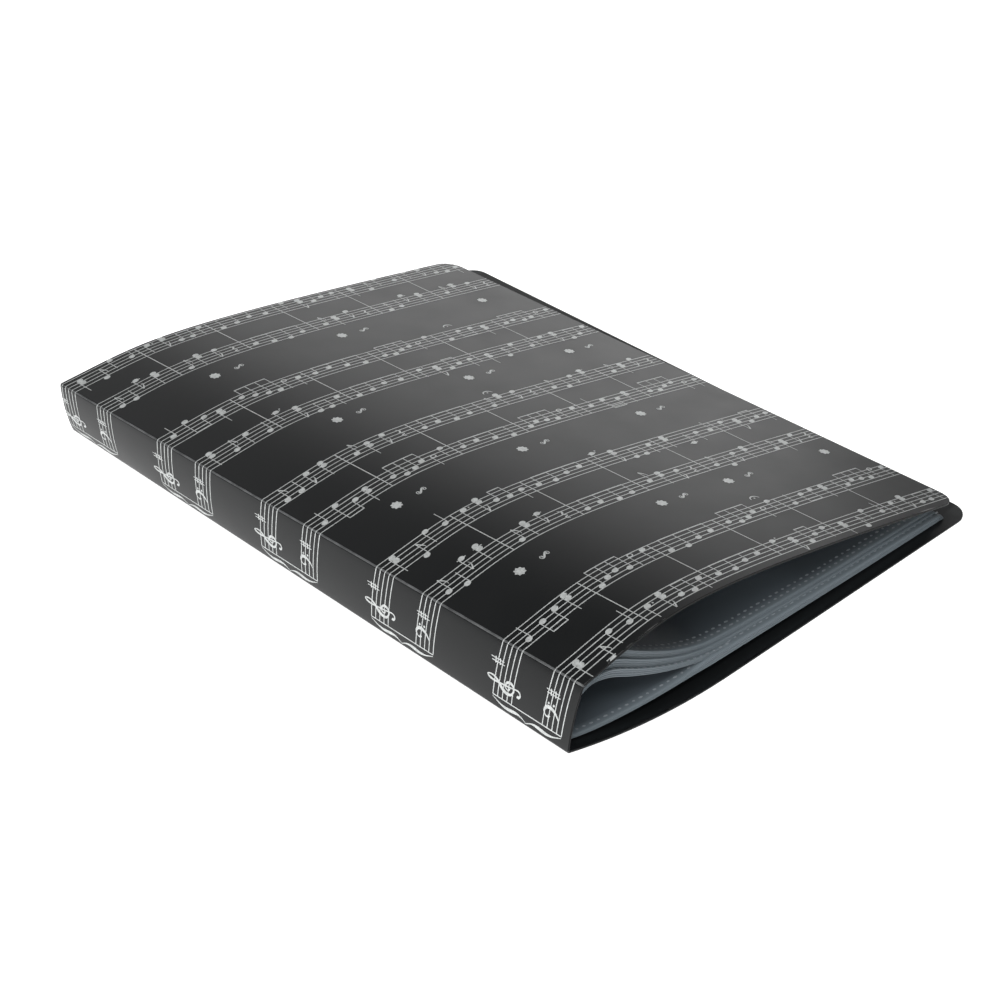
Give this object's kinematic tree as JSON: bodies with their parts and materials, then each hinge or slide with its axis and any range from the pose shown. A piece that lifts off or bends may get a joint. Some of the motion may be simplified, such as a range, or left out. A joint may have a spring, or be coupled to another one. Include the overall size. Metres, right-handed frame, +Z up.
{
  "type": "music folder",
  "caption": "Soft-backed A4 display book of clear pockets, in a creased black cover printed with lines of music, lying closed.",
  "frame": {"origin": "on the table, under the middle of the folder's box", "axes": "+X from the spine to the fore edge, +Y from the tail to the head of the folder, +Z up from the table"},
  "size_m": [0.2452, 0.31, 0.0487],
  "materials": {
    "cover_board": "satin black polypropylene with a fine grain",
    "pocket_film": "clear soft film, frosted along its welds",
    "print_ink": "thin silver-grey screen print"
  },
  "bodies": {
    "spine_and_pockets": {"spine_panel": "cover_board", "pocket_pages": "pocket_film", "spine_staves_1": "print_ink", "spine_staves_2": "print_ink", "spine_staves_3": "print_ink", "spine_staves_4": "print_ink", "spine_staves_5": "print_ink", "spine_brace_1": "print_ink", "spine_brace_2": "print_ink", "spine_brace_3": "print_ink", "spine_brace_4": "print_ink", "spine_brace_5": "print_ink"},
    "front_board": {"front_cover": "cover_board", "front_staves_1": "print_ink", "front_staves_2": "print_ink", "front_staves_3": "print_ink", "front_staves_4": "print_ink", "front_staves_5": "print_ink", "treble_run_1": "print_ink", "treble_run_2": "print_ink", "treble_run_3": "print_ink", "treble_run_4": "print_ink", "treble_run_5": "print_ink", "bass_run_1": "print_ink", "bass_run_2": "print_ink", "bass_run_3": "print_ink", "bass_run_4": "print_ink", "bass_run_5": "print_ink"},
    "back_board": {"back_cover": "cover_board"}
  },
  "joints": [
    {"name": "front_crease", "type": "hinge", "parent": "spine_and_pockets", "child": "front_board", "pos_m": [-0.11702, 0, 0.0385], "axis": [0.0342, -0.9992, 0.0187], "range_deg": [0, 180]},
    {"name": "back_crease", "type": "hinge", "parent": "spine_and_pockets", "child": "back_board", "pos_m": [-0.11912, 0, 0.01215], "axis": [0, 0.9999, -0.0152], "range_deg": [0, 180]}
  ]
}
